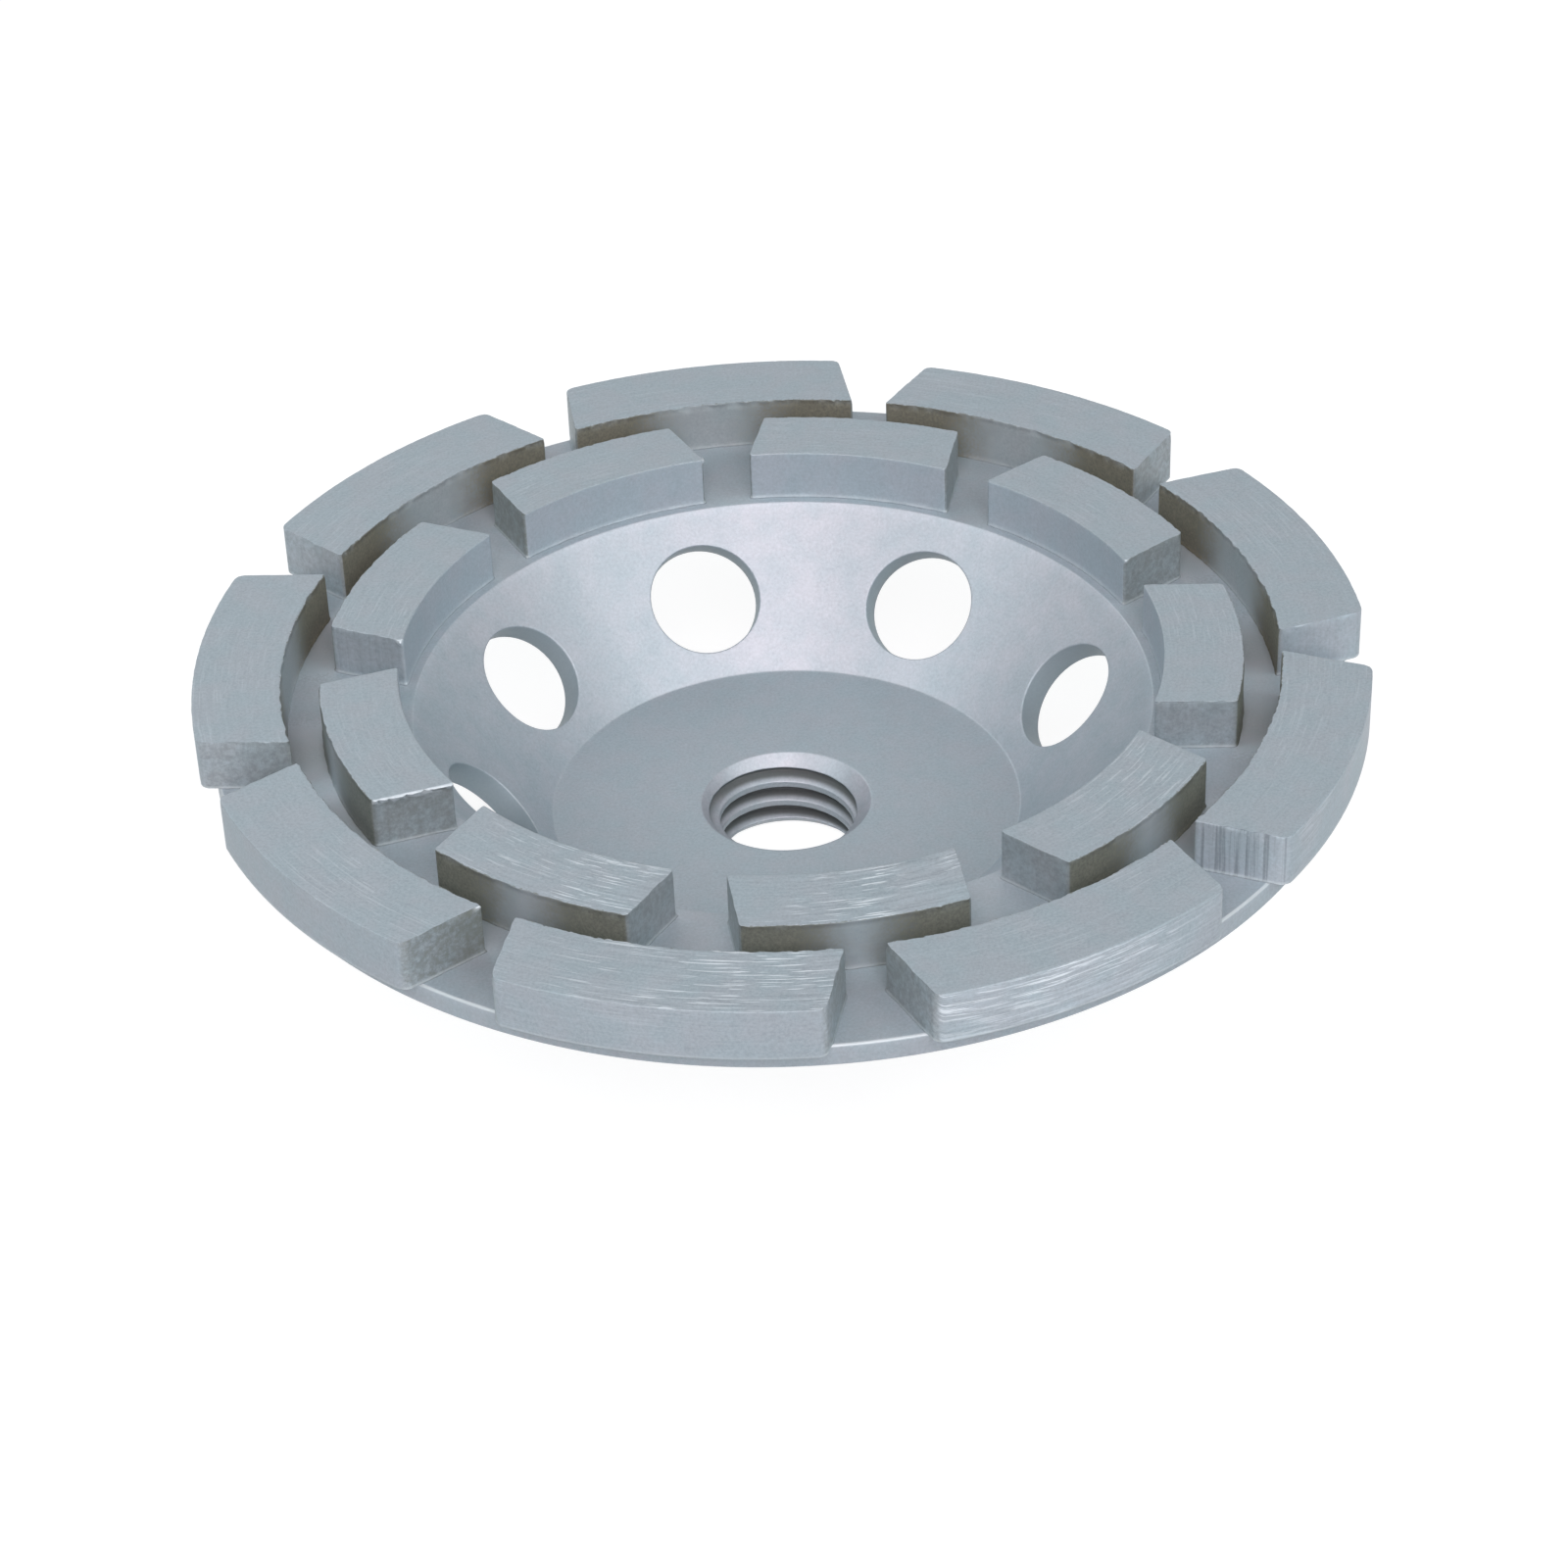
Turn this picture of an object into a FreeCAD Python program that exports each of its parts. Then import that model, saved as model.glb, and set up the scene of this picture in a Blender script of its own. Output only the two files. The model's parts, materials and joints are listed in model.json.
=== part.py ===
"""Double-row diamond cup wheel for an angle grinder.

A turned steel cup body carries two rows of sintered diamond segments, brazed flat on its flange. The frame's
origin is the centre of the hub's back face, where the wheel seats on the grinder's spindle shoulder. +Z runs along
the spindle axis, from the hub towards the grinding face. All lengths are in millimetres and all angles in degrees.
"""

import FreeCAD
import Part
import math
import os
import Sketcher

# Driving dimensions
SIZES = {
    # whole wheel
    "wheel_dia": 115.0,
    "rim_setback": 1.6,
    # section of the turned body
    "hub_height": 8.2,
    "hub_floor_dia": 47.0,
    "floor_thick": 3.4,
    "boss_dia": 36.0,
    "cup_depth": 13.0,
    "cup_wall": 2.6,
    "mouth_ledge": 1.0,
    "flange_thick": 3.2,
    "rim_band": 2.2,
    "edge_break": 0.3,
    # spindle thread, 5/8 inch, 11 threads to the inch, drawn at its tapping size
    "tapping_dia": 13.5,
    "thread_mouth": 1.8,
    "back_mouth": 1.2,
    # rounding under the cup, where its floor turns up into the wall
    "shoulder_round": 2.5,
    # vents drilled square to the cup wall
    "vent_dia": 11.6,
    "vent_count": 8,
    "vent_drop": 0.5,
    "vent_start_angle": 18.9,
    "vent_overrun": 3.0,
    # diamond segments
    "row_count": 9,
    "segment_height": 5.3,
    "outer_start_angle": 21.3,
    "outer_width": 8.7,
    "outer_slot": 3.48,
    "row_gap": 3.6,
    "inner_width": 7.75,
    "inner_slot": 4.75,
    "corner_round": 0.5,
}

# Lengths that follow from the driving dimensions, written for FreeCAD's expressions
RIM_RADIUS = "(Sizes.wheel_dia / 2 - Sizes.rim_setback)"
FLANGE_TOP = "(Sizes.hub_height + Sizes.cup_depth)"
OUTER_ROW = {
    "outside": "(Sizes.wheel_dia / 2)",
    "inside": "(Sizes.wheel_dia / 2 - Sizes.outer_width)",
    "slot": "Sizes.outer_slot",
}
INNER_ROW = {
    "outside": f"({OUTER_ROW['inside']} - Sizes.row_gap)",
    "inside": f"({OUTER_ROW['inside']} - Sizes.row_gap - Sizes.inner_width)",
    "slot": "Sizes.inner_slot",
}
MOUTH_RADIUS = f"({INNER_ROW['inside']} - Sizes.mouth_ledge)"
FLOOR_RADIUS = "(Sizes.hub_floor_dia / 2)"
CUP_SLOPE = f"atan(Sizes.cup_depth / ({MOUTH_RADIUS} - {FLOOR_RADIUS}))"
WALL_SHIFT = f"(Sizes.cup_wall / sin({CUP_SLOPE}))"
FLOOR_UNDERSIDE = "(Sizes.hub_height - Sizes.floor_thick)"
FLANGE_UNDERSIDE = f"({FLANGE_TOP} - Sizes.flange_thick)"
SHOULDER_RADIUS = f"({FLOOR_RADIUS} + {WALL_SHIFT} - Sizes.floor_thick / tan({CUP_SLOPE}))"
ROOT_RADIUS = f"({MOUTH_RADIUS} + {WALL_SHIFT} - Sizes.flange_thick / tan({CUP_SLOPE}))"
BORE_RADIUS = "(Sizes.tapping_dia / 2)"

doc = FreeCAD.newDocument("CupWheel")
sheet = doc.addObject("Spreadsheet::Sheet", "Sizes")
for row, (alias, size) in enumerate(SIZES.items(), start=1):
    sheet.set(f"A{row}", alias)
    sheet.set(f"B{row}", str(size))
    sheet.setAlias(f"B{row}", alias)
doc.recompute()


def size_of(expression):
    """The present value of an expression on the sheet, in millimetres or degrees."""
    found = sheet.evalExpression(expression.replace("Sizes.", ""))
    return float(getattr(found, "Value", found))


def new_body(label):
    body = doc.addObject("PartDesign::Body", label)
    body.Label = label
    return body


def new_sketch(body, name, plane):
    """A sketch on one of the body's own origin planes."""
    sketch = body.newObject("Sketcher::SketchObject", name)
    planes = [feature for feature in body.Origin.OriginFeatures if feature.Role == plane]
    sketch.AttachmentSupport = [(planes[0], "")]
    sketch.MapMode = "FlatFace"
    return sketch


def bind(sketch, kind, elements, name, expression):
    """Adds one named dimension to a sketch and ties it to the sheet."""
    index = sketch.addConstraint(Sketcher.Constraint(kind, *elements, size_of(expression)))
    sketch.renameConstraint(index, name)
    sketch.setExpression(f"Constraints.{name}", expression)


def closed_outline(sketch, corners):
    """Straight edges through named corners, each corner held at its across and up expressions."""
    names = list(corners)
    points = [FreeCAD.Vector(size_of(across), size_of(up), 0) for across, up in corners.values()]
    for here, there in zip(points, points[1:] + points[:1]):
        sketch.addGeometry(Part.LineSegment(here, there), False)
    for edge, name in enumerate(names):
        sketch.addConstraint(Sketcher.Constraint("Coincident", edge - 1 if edge else len(names) - 1, 2, edge, 1))
        across, up = corners[name]
        bind(sketch, "DistanceX", (-1, 1, edge, 1), f"{name}_across", across)
        bind(sketch, "DistanceY", (-1, 1, edge, 1), f"{name}_up", up)


def rings_at(feature, places):
    """Names of the feature's circular edges about Z that lie at the given radius and height."""
    found = []
    for radius, height in places:
        for index, edge in enumerate(feature.Shape.Edges, start=1):
            curve = edge.Curve
            if isinstance(curve, Part.Circle) and math.isclose(curve.Radius, radius, abs_tol=1e-4):
                if math.isclose(curve.Center.z, height, abs_tol=1e-4):
                    found.append(f"Edge{index}")
    return found


def dress(body, kind, name, base, edges, parameter, expression):
    """Adds a fillet or chamfer to named edges of the feature before it."""
    feature = body.newObject(f"PartDesign::{kind}", name)
    feature.Base = (base, edges)
    setattr(feature, parameter, size_of(expression))
    feature.setExpression(parameter, expression)
    doc.recompute()
    return feature


def make_cup_body():
    """The turned body: one section revolved about the spindle axis, edges rounded, then the vents drilled."""
    body = new_body("cup_body")
    section = new_sketch(body, "TurnedSection", "XZ_Plane")
    closed_outline(
        section,
        {
            "back_mouth": (f"{BORE_RADIUS} + Sizes.back_mouth", "0"),
            "boss_edge": ("Sizes.boss_dia / 2", "0"),
            "boss_root": ("Sizes.boss_dia / 2", FLOOR_UNDERSIDE),
            "shoulder": (SHOULDER_RADIUS, FLOOR_UNDERSIDE),
            "flange_root": (ROOT_RADIUS, FLANGE_UNDERSIDE),
            "rim_foot": (RIM_RADIUS, f"{FLANGE_TOP} - Sizes.rim_band"),
            "rim_top": (RIM_RADIUS, FLANGE_TOP),
            "mouth": (MOUTH_RADIUS, FLANGE_TOP),
            "floor_edge": (FLOOR_RADIUS, "Sizes.hub_height"),
            "thread_mouth": (f"{BORE_RADIUS} + Sizes.thread_mouth", "Sizes.hub_height"),
            "bore_top": (BORE_RADIUS, "Sizes.hub_height - Sizes.thread_mouth"),
            "bore_foot": (BORE_RADIUS, "Sizes.back_mouth"),
        },
    )
    turned = body.newObject("PartDesign::Revolution", "TurnedBody")
    turned.Profile = section
    turned.ReferenceAxis = (section, ["V_Axis"])
    turned.Angle = 360
    doc.recompute()

    boss_radius = size_of("Sizes.boss_dia / 2")
    rim_radius = size_of(RIM_RADIUS)
    flange_top = size_of(FLANGE_TOP)
    edges = rings_at(turned, [(size_of(SHOULDER_RADIUS), size_of(FLOOR_UNDERSIDE))])
    shape = dress(body, "Fillet", "ShoulderRound", turned, edges, "Radius", "Sizes.shoulder_round")
    edges = rings_at(shape, [(boss_radius, 0), (rim_radius, flange_top), (size_of(MOUTH_RADIUS), flange_top)])
    shape = dress(body, "Chamfer", "EdgeBreak", shape, edges, "Size", "Sizes.edge_break")

    body.Tip = drill_vents(body, shape)
    body.Placement = FreeCAD.Placement(
        FreeCAD.Vector(0, 0, 0), FreeCAD.Rotation(FreeCAD.Vector(0, 0, 1), SIZES["vent_start_angle"])
    )
    body.setExpression("Placement.Rotation.Angle", "Sizes.vent_start_angle")
    return body


def drill_vents(body, before):
    """One round vent square to the cup wall, turned about its own axis and then repeated round the wheel."""
    bit = new_sketch(body, "VentBit", "XZ_Plane")
    # where the vent's axis crosses the inside of the wall: on the middle of the slope, less the drop
    across = f"(({MOUTH_RADIUS} + {FLOOR_RADIUS}) / 2 - Sizes.vent_drop * cos({CUP_SLOPE}))"
    up = f"(Sizes.hub_height + Sizes.cup_depth / 2 - Sizes.vent_drop * sin({CUP_SLOPE}))"
    inside = "(-Sizes.vent_overrun)"
    outside = "(Sizes.cup_wall + Sizes.vent_overrun)"
    radius = "(Sizes.vent_dia / 2)"

    def along(depth, offset):
        """A point by its depth along the vent's axis and its offset up the slope."""
        return (
            f"{across} + {depth} * sin({CUP_SLOPE}) + {offset} * cos({CUP_SLOPE})",
            f"{up} - {depth} * cos({CUP_SLOPE}) + {offset} * sin({CUP_SLOPE})",
        )

    closed_outline(
        bit,
        {
            "axis_inside": along(inside, "0"),
            "axis_outside": along(outside, "0"),
            "side_outside": along(outside, radius),
            "side_inside": along(inside, radius),
        },
    )
    bit.addGeometry(bit.Geometry[0], True)
    axis_line = len(bit.Geometry) - 1
    for end in (1, 2):
        bit.addConstraint(Sketcher.Constraint("Coincident", axis_line, end, 0, end))
    vent = body.newObject("PartDesign::Groove", "Vent")
    vent.Profile = bit
    vent.ReferenceAxis = (bit, ["Axis0"])
    vent.Angle = 360
    doc.recompute()
    cut = before.Shape.Volume - vent.Shape.Volume
    drilled = math.pi * SIZES["vent_dia"] ** 2 / 4 * SIZES["cup_wall"]
    print(f"one vent removes {cut:.1f} mm3, a straight hole through the wall {drilled:.1f} mm3")

    vents = body.newObject("PartDesign::PolarPattern", "Vents")
    vents.Originals = [vent]
    vents.Axis = (bit, ["V_Axis"])
    vents.Angle = 360
    vents.Occurrences = SIZES["vent_count"]
    vents.setExpression("Occurrences", "Sizes.vent_count")
    return vents


def make_segment(label, row, angle):
    """One segment: concentric inner and outer faces, parallel ends, standing on the flange at its own angle.

    The slot to the next segment of the row is measured between their inside corners, and sets the length.
    """
    body = new_body(label)
    plan = new_sketch(body, "SegmentPlan", "XY_Plane")
    centre, up = FreeCAD.Vector(0, 0, 0), FreeCAD.Vector(0, 0, 1)
    half_slot_angle = f"asin({row['slot']} / 2 / {row['inside']})"
    half_length = f"({row['inside']} * sin(180 deg / Sizes.row_count - {half_slot_angle}))"
    half = size_of(half_length)
    corners = {}
    for name in ("inside", "outside"):
        radius = size_of(row[name])
        corners[name] = math.sqrt(radius**2 - half**2)
        swing = math.asin(half / radius)
        plan.addGeometry(Part.ArcOfCircle(Part.Circle(centre, up, radius), -swing, swing), False)
    for side in (-half, half):
        ends = [FreeCAD.Vector(corners[name], side, 0) for name in ("inside", "outside")]
        plan.addGeometry(Part.LineSegment(*ends), False)
    inner_arc, outer_arc, right_end, left_end = range(4)
    for arc, line_end in ((inner_arc, 1), (outer_arc, 2)):
        plan.addConstraint(Sketcher.Constraint("Coincident", arc, 3, -1, 1))
        plan.addConstraint(Sketcher.Constraint("Coincident", arc, 1, right_end, line_end))
        plan.addConstraint(Sketcher.Constraint("Coincident", arc, 2, left_end, line_end))
    for line in (right_end, left_end):
        plan.addConstraint(Sketcher.Constraint("Horizontal", line))
    bind(plan, "Radius", (inner_arc,), "inside_radius", row["inside"])
    bind(plan, "Radius", (outer_arc,), "outside_radius", row["outside"])
    bind(plan, "DistanceY", (right_end, 1, -1, 1), "right_half", half_length)
    bind(plan, "DistanceY", (-1, 1, left_end, 1), "left_half", half_length)

    block = body.newObject("PartDesign::Pad", "Pressing")
    block.Profile = plan
    block.setExpression("Length", "Sizes.segment_height")
    doc.recompute()
    uprights = [
        f"Edge{index}"
        for index, edge in enumerate(block.Shape.Edges, start=1)
        if abs(edge.Vertexes[0].Z - edge.Vertexes[-1].Z) > size_of("Sizes.segment_height") / 2
    ]
    body.Tip = dress(body, "Fillet", "WornCorners", block, uprights, "Radius", "Sizes.corner_round")
    body.Placement = FreeCAD.Placement(
        FreeCAD.Vector(0, 0, size_of(FLANGE_TOP)), FreeCAD.Rotation(up, size_of(angle))
    )
    body.setExpression("Placement.Base.z", FLANGE_TOP)
    body.setExpression("Placement.Rotation.Angle", angle)
    return body


def make_rows():
    """Both rows: the inner segments sit half a step round from the outer ones, across the outer row's gaps."""
    step = "360 / Sizes.row_count"
    segments = []
    for place in range(SIZES["row_count"]):
        outer_angle = f"Sizes.outer_start_angle + {place} * {step}"
        inner_angle = f"Sizes.outer_start_angle + {place + 0.5} * {step}"
        segments.append(make_segment(f"outer_segment_{place + 1}", OUTER_ROW, outer_angle))
        segments.append(make_segment(f"inner_segment_{place + 1}", INNER_ROW, inner_angle))
    return segments


pieces = [make_cup_body()] + make_rows()
doc.recompute()

for item in doc.Objects:
    if "Invalid" in item.State or "Error" in item.State:
        raise RuntimeError(f"{item.Name} failed: {item.State}")
for piece in pieces:
    if piece.Shape.isNull() or not piece.Shape.isValid() or len(piece.Shape.Solids) != 1:
        raise RuntimeError(f"{piece.Label} isn't one valid solid")

os.makedirs("parts", exist_ok=True)
for piece in pieces:
    piece.Shape.exportStep(f"parts/{piece.Label}.step")
    print(f"{piece.Label}: {piece.Shape.Volume:.1f} mm3")
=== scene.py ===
# %% [markdown]
# # A diamond cup wheel, dressed for a portrait
#
# The object is a grinding wheel for concrete and stone: a turned steel cup with a threaded hub, eight
# round vents in its sloping wall and two rings of diamond segments brazed on its flange. The solids
# already exist and carry the sizes. This lesson keeps every size and works on what a solid leaves
# out: the thread in the hub, the worn edges of the segments, the braze at their feet and the thin
# silver spray that covers everything but the corners it missed.

import json
import math

import bmesh
import bpy
from mathutils import Matrix, Vector


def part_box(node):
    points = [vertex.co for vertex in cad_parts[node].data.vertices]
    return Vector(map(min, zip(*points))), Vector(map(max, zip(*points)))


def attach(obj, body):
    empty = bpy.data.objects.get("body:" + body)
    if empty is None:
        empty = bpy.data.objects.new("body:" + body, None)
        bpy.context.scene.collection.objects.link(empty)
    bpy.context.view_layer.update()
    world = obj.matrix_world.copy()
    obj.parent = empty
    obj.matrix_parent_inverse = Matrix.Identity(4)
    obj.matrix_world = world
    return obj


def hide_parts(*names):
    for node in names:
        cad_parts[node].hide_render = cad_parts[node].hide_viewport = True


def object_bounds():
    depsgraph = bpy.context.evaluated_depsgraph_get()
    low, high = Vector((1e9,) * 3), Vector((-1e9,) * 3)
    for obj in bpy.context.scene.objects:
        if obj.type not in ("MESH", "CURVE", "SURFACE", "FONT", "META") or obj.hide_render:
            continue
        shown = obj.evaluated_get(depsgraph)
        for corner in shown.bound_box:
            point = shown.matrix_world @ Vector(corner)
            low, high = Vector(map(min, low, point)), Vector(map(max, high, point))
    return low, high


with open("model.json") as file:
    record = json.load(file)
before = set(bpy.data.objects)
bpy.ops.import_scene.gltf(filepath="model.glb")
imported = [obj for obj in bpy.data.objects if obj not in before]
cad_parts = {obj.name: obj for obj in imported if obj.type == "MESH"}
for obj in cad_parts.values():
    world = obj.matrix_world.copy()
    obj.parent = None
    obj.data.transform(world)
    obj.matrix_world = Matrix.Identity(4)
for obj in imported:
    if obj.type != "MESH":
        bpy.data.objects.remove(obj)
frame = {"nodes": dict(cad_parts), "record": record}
cad_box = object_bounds()
MM = 0.001
print("solids:", len(frame["nodes"]), "box:", [[round(v, 4) for v in corner] for corner in cad_box])

# %% [markdown]
# ## A desk for node trees
#
# Blender's materials and its Geometry Nodes are both trees of nodes joined by wires. Laid out by
# hand, a formula such as 1 - 2 * x takes two nodes and a wire, and reads badly in a script. So one
# small class stands for a wire, and Python's own operators on it lay the Math nodes. A second one
# lays every other node: its type, its settings, then its sockets.


# %% A wire that can be added and multiplied
class Wire:
    """One output socket of a node tree. Arithmetic on wires lays the Math nodes that work it out."""

    def __init__(self, desk, socket):
        self.desk = desk
        self.socket = socket

    def __add__(self, other):
        return self.desk.math("ADD", self, other)

    def __sub__(self, other):
        return self.desk.math("SUBTRACT", self, other)

    def __mul__(self, other):
        return self.desk.math("MULTIPLY", self, other)

    def __truediv__(self, other):
        return self.desk.math("DIVIDE", self, other)

    def __pow__(self, other):
        return self.desk.math("POWER", self, other)

    def __rsub__(self, other):
        return self.desk.math("SUBTRACT", other, self)

    def __neg__(self):
        return self.desk.math("MULTIPLY", self, -1.0)

    __radd__ = __add__
    __rmul__ = __mul__

    def out(self, name):
        """Another output of the same node."""
        return Wire(self.desk, self.socket.node.outputs[name])

    def between(self, low, high):
        """A soft step, from 0 at low to 1 at high. With low above high it falls instead."""
        sizes = {"Value": self, "From Min": low, "From Max": high}
        return self.desk.node("ShaderNodeMapRange", {"interpolation_type": "SMOOTHSTEP"}, sizes)


# %% A desk that lays nodes
def find_socket(sockets, key):
    """A socket by its number, its identifier or its name."""
    if isinstance(key, int):
        return sockets[key]
    for socket in sockets:
        if socket.identifier == key:
            return socket
    return sockets[key]


class Desk:
    """A node tree, and short ways to lay nodes on it."""

    def __init__(self, tree):
        self.tree = tree
        tree.nodes.clear()

    def node(self, kind, settings=None, inputs=None, out=0):
        """Lays one node: its settings, then the value or wire of each socket. Gives one of its outputs."""
        laid = self.tree.nodes.new(kind)
        for name, setting in (settings or {}).items():
            setattr(laid, name, setting)
        for key, value in (inputs or {}).items():
            socket = find_socket(laid.inputs, key)
            if isinstance(value, Wire):
                self.tree.links.new(value.socket, socket)
            else:
                socket.default_value = value
        return Wire(self, find_socket(laid.outputs, out)) if len(laid.outputs) else laid

    def math(self, operation, *values):
        return self.node("ShaderNodeMath", {"operation": operation}, dict(enumerate(values)))

    def vector(self, operation, *values, out=0):
        return self.node("ShaderNodeVectorMath", {"operation": operation}, dict(enumerate(values)), out)

    def scaled(self, vector, size):
        """A vector, or a colour, times a number."""
        return self.node("ShaderNodeVectorMath", {"operation": "SCALE"}, {0: vector, "Scale": size})

    def join(self, x, y, z):
        return self.node("ShaderNodeCombineXYZ", {}, {0: x, 1: y, 2: z})

    def split(self, vector):
        apart = self.node("ShaderNodeSeparateXYZ", {}, {0: vector})
        return apart, apart.out("Y"), apart.out("Z")

    def blend(self, factor, one, other):
        """One colour where the factor is 0, the other where it is 1."""
        colours = {"Factor_Float": factor, "A_Color": one, "B_Color": other}
        return self.node("ShaderNodeMix", {"data_type": "RGBA"}, colours, "Result_Color")

    def noise(self, vector, scale, detail=2.0, roughness=0.5):
        sizes = {"Vector": vector, "Scale": scale, "Detail": detail, "Roughness": roughness}
        return self.node("ShaderNodeTexNoise", {}, sizes, "Fac")


def new_material(name):
    """A material and the desk of its empty node tree."""
    made = bpy.data.materials.new(name)
    made.use_nodes = True
    return made, Desk(made.node_tree)


# %% [markdown]
# ## The camera first
#
# The photograph was taken from above the near edge of the wheel, about 35 degrees up and 41 cm away,
# with a longish lens. The lens is given for Blender's usual sensor, 36 mm wide. Aiming the camera
# takes two steps: point its back along the line of sight, then roll it a little about that line.

# %% Camera
SENSOR_WIDTH = 36.0
FOCAL_LENGTH = 93.285
CAMERA_AIM = Vector((-0.36, 2.84, 8.2)) * MM
CAMERA_AWAY = 410.82 * MM
CAMERA_AZIMUTH = math.radians(3.766)
CAMERA_HEIGHT_ANGLE = math.radians(35.041)
CAMERA_ROLL = math.radians(-2.25)

sight = Vector((
    math.sin(CAMERA_AZIMUTH) * math.cos(CAMERA_HEIGHT_ANGLE),
    -math.cos(CAMERA_AZIMUTH) * math.cos(CAMERA_HEIGHT_ANGLE),
    math.sin(CAMERA_HEIGHT_ANGLE),
))
camera = bpy.data.objects.new("camera", bpy.data.cameras.new("camera"))
bpy.context.scene.collection.objects.link(camera)
camera.data.sensor_width = SENSOR_WIDTH
camera.data.lens = FOCAL_LENGTH
camera.data.clip_start = 10 * MM
camera.matrix_world = (
    Matrix.Translation(CAMERA_AIM + sight * CAMERA_AWAY)
    @ sight.to_track_quat("Z", "Y").to_matrix().to_4x4()
    @ Matrix.Rotation(CAMERA_ROLL, 4, "Z")
)
bpy.context.scene.camera = camera
bpy.context.scene.view_settings.view_transform = "Standard"
print("camera at", [round(v, 4) for v in camera.matrix_world.translation])

# %% [markdown]
# ## Floor and studio light
#
# The backdrop is plain white. The floor has to be white and still carry the wheel's shadow, so what
# the camera sees of it is mostly a steady white, with a share of true diffuse light on top that the
# shadow can darken. The soft light that bounces between surfaces meets an ordinary pale floor instead.
# Light Path tells the two apart, and the world uses it the same way.


# %% White where it is seen
def seen_directly(desk):
    """1 for rays from the camera, and for those that metal mirrors or glass lets through."""
    rays = desk.node("ShaderNodeLightPath", {}, {}, "Is Camera Ray")
    mirrored = desk.math("MAXIMUM", rays, rays.out("Is Glossy Ray"))
    return desk.math("MAXIMUM", mirrored, rays.out("Is Transmission Ray"))


FLOOR_COLOUR = (0.86, 0.87, 0.88, 1.0)
FLOOR_SHARE = (0.20, 0.20, 0.20, 1.0)
FLOOR_GLOW = 0.90
WORLD_COLOUR = (0.80, 0.86, 0.93, 1.0)
WORLD_STRENGTH = 0.12
WHITE = (1.0, 1.0, 1.0, 1.0)

floor_material, desk = new_material("studio_floor")
plain = desk.node("ShaderNodeBsdfDiffuse", {}, {"Color": FLOOR_COLOUR})
shaded = desk.node("ShaderNodeBsdfDiffuse", {}, {"Color": FLOOR_SHARE})
glow = desk.node("ShaderNodeEmission", {}, {"Color": WHITE, "Strength": FLOOR_GLOW})
white = desk.node("ShaderNodeAddShader", {}, {0: shaded, 1: glow})
surface = desk.node("ShaderNodeMixShader", {}, {0: seen_directly(desk), 1: plain, 2: white})
desk.node("ShaderNodeOutputMaterial", {}, {"Surface": surface})

world = bpy.data.worlds.new("studio")
world.use_nodes = True
bpy.context.scene.world = world
desk = Desk(world.node_tree)
room = desk.node("ShaderNodeBackground", {}, {"Color": WORLD_COLOUR, "Strength": WORLD_STRENGTH})
backdrop = desk.node("ShaderNodeBackground", {}, {"Color": WHITE, "Strength": 1.0})
surface = desk.node("ShaderNodeMixShader", {}, {0: seen_directly(desk), 1: room, 2: backdrop})
desk.node("ShaderNodeOutputWorld", {}, {"Surface": surface})

# %% Floor and lamps
FLOOR_HALF = 3.0
LAMP_AWAY = 1.5

floor_mesh = bpy.data.meshes.new("floor")
floor_corners = [(-1, -1), (1, -1), (1, 1), (-1, 1)]
floor_mesh.from_pydata([(x * FLOOR_HALF, y * FLOOR_HALF, 0.0) for x, y in floor_corners], [], [(0, 1, 2, 3)])
floor_mesh.materials.append(floor_material)
floor = bpy.data.objects.new("floor", floor_mesh)
bpy.context.scene.collection.objects.link(floor)


def lamp(name, azimuth, height_angle, size, watts, colour):
    """A square soft lamp that looks at the wheel from a compass angle and a height angle, both in degrees."""
    light = bpy.data.lights.new(name, "AREA")
    light.size = size
    light.energy = watts
    light.color = colour
    stand = bpy.data.objects.new(name, light)
    bpy.context.scene.collection.objects.link(stand)
    across, up = math.radians(azimuth), math.radians(height_angle)
    line = Vector((math.sin(across) * math.cos(up), -math.cos(across) * math.cos(up), math.sin(up)))
    aimed = line.to_track_quat("Z", "Y").to_matrix().to_4x4()
    stand.matrix_world = Matrix.Translation(line * LAMP_AWAY) @ aimed


lamp("front", 5, 43, 1.0, 15.3, (1.0, 0.91, 0.925))
lamp("right", 70, 45, 0.75, 5.7, (0.83, 1.0, 1.0))
lamp("left", -70, 45, 0.75, 5.1, (0.79, 0.98, 1.0))
lamp("low_right", 30, 25, 0.75, 2.5, (0.70, 0.90, 1.0))
lamp("back", -140, 40, 0.75, 2.5, (0.90, 0.97, 1.0))

# %% [markdown]
# ## Sizes
#
# What the solids already say is read from them. The rest repeats the drawing of the wheel: the section of the
# turned cup, the vents and the spindle thread. Everything is in metres, as in the frame.

# %% Sizes of the wheel
_, cup_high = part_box("cup_body")
RIM_RADIUS = cup_high.x
FLANGE_TOP = cup_high.z
SEGMENT_TOP = cad_box[1][2]
WHEEL_RADIUS = -cad_box[0][0]
thread = next(mount for mount in frame["record"]["mounts"] if mount["name"] == "spindle_thread")
CREST_RADIUS = thread["dims"]["r_mm"] * MM

HUB_HEIGHT = 8.2 * MM
FLOOR_THICKNESS = 3.4 * MM
HUB_FLOOR_RADIUS = 23.5 * MM
BOSS_RADIUS = 18.0 * MM
WALL = 2.6 * MM
FLANGE_THICKNESS = 3.2 * MM
RIM_BAND = 2.2 * MM
OUTER_WIDTH = 8.7 * MM
ROW_GAP = 3.6 * MM
INNER_WIDTH = 7.75 * MM
MOUTH_LEDGE = 1.0 * MM
FRONT_MOUTH = 1.8 * MM
BACK_MOUTH = 1.2 * MM

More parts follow.
